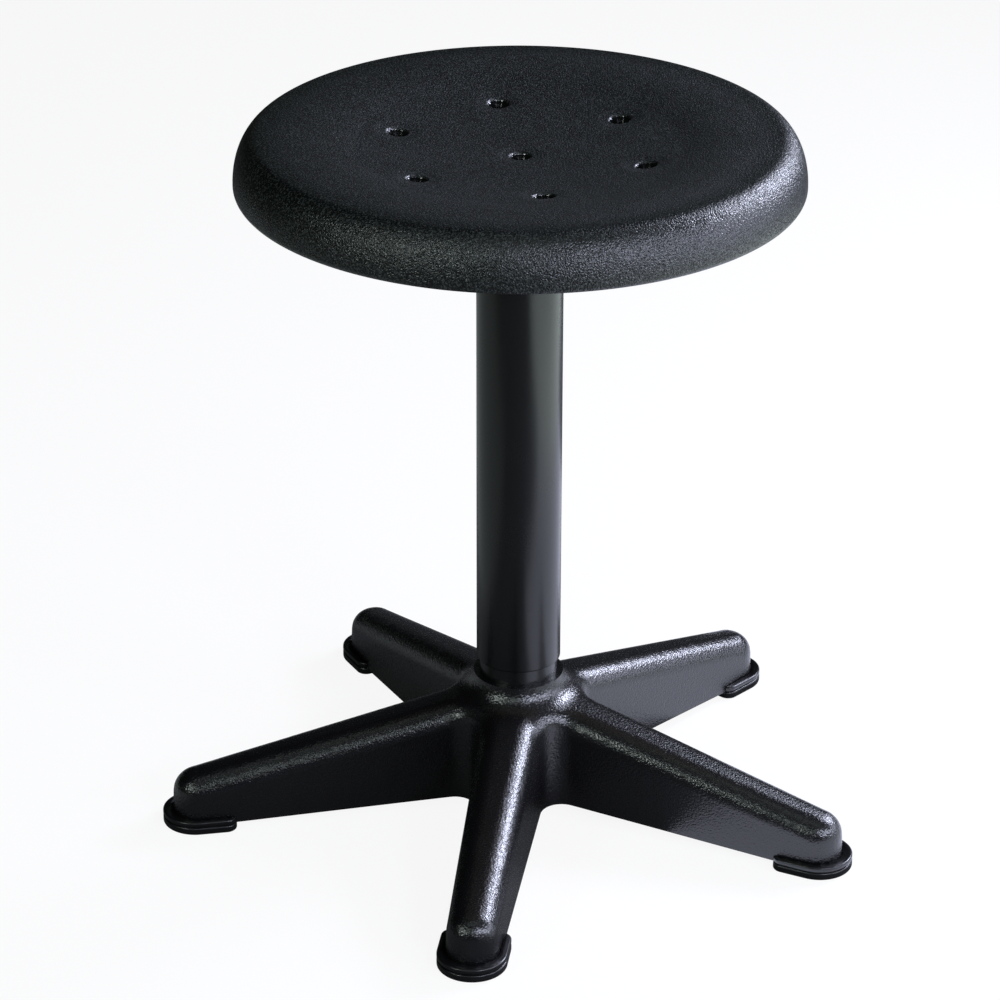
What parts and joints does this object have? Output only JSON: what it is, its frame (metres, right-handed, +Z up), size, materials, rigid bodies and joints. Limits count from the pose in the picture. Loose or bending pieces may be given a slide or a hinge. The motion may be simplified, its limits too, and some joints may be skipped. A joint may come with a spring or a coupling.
{
  "type": "swivel stool",
  "caption": "Round height-adjustable swivel stool: dished foam seat on a gas-spring column over a moulded star base on glides.",
  "frame": {"origin": "on the floor, on the swivel axis", "axes": "+Z up along the swivel axis, -Y along the front arm; the release lever points to +Y at rest"},
  "size_m": [0.4458, 0.4262, 0.4591],
  "materials": {
    "seat_skin": "black integral-skin foam with a fine leather grain, satin",
    "base_plastic": "black moulded plastic with a pebble grain",
    "glide_plastic": "smooth black plastic",
    "column_paint": "satin black powder coat",
    "bracket_paint": "matt black paint on pressed steel",
    "spring_paint": "black gas spring tube",
    "grip_plastic": "black moulded plastic",
    "bush_plastic": "natural acetal",
    "seal_rubber": "black rubber",
    "brass_fittings": "turned brass",
    "plywood": "beech plywood",
    "bright_steel": "zinc-plated and ground steel"
  },
  "bodies": {
    "base": {"five_star_base": "base_plastic", "glide_1": "glide_plastic", "glide_2": "glide_plastic", "glide_3": "glide_plastic", "glide_4": "glide_plastic", "glide_5": "glide_plastic", "glide_stems": "bright_steel", "stem_rings": "bright_steel", "stand_tube": "column_paint", "tube_floor": "bright_steel", "guide_bush": "bush_plastic", "lower_race": "bright_steel"},
    "bearing": {"ball_cage": "bush_plastic", "bearing_balls": "bright_steel"},
    "rod": {"piston_rod": "bright_steel", "upper_race": "bright_steel", "rod_clip": "bright_steel", "rubber_buffer": "seal_rubber", "piston": "brass_fittings", "piston_seal": "seal_rubber"},
    "seat": {"pressure_tube": "spring_paint", "rod_guide": "bush_plastic", "rod_seal": "seal_rubber", "valve_body": "brass_fittings", "taper_socket": "bracket_paint", "seat_bracket": "bracket_paint", "cover_sleeve": "column_paint", "sleeve_ring": "grip_plastic", "lever_pin": "bright_steel", "seat_board": "plywood", "seat_pad": "seat_skin", "tee_nuts": "bright_steel", "seat_screws": "bright_steel", "screw_washers": "bright_steel"},
    "lever": {"release_lever": "bracket_paint", "lever_grip": "grip_plastic"},
    "button": {"release_button": "bright_steel"}
  },
  "joints": [
    {"name": "seat_swivel", "type": "hinge", "parent": "base", "child": "rod", "pos_m": [0, 0, 0.056], "axis": [0, 0, 1], "continuous": true},
    {"name": "cage_roll", "type": "hinge", "parent": "base", "child": "bearing", "pos_m": [0, 0, 0.056], "axis": [0, 0, 1], "continuous": true},
    {"name": "seat_lift", "type": "slide", "parent": "rod", "child": "seat", "axis": [0, 0, 1], "range_m": [0, 0.14]},
    {"name": "release_tilt", "type": "hinge", "parent": "seat", "child": "lever", "pos_m": [0, 0.024, 0.40594], "axis": [1, 0, 0], "range_deg": [0, 6], "stiffness_Nm_per_rad": 15, "springref_deg": -4.58},
    {"name": "button_press", "type": "slide", "parent": "seat", "child": "button", "axis": [0, 0, -1], "range_m": [0, 0.0026]}
  ],
  "couplings": [
    {"joint": "cage_roll", "follows": "seat_swivel", "ratio": 0.5},
    {"joint": "button_press", "follows": "release_tilt", "m_per_rad": 0.024}
  ]
}
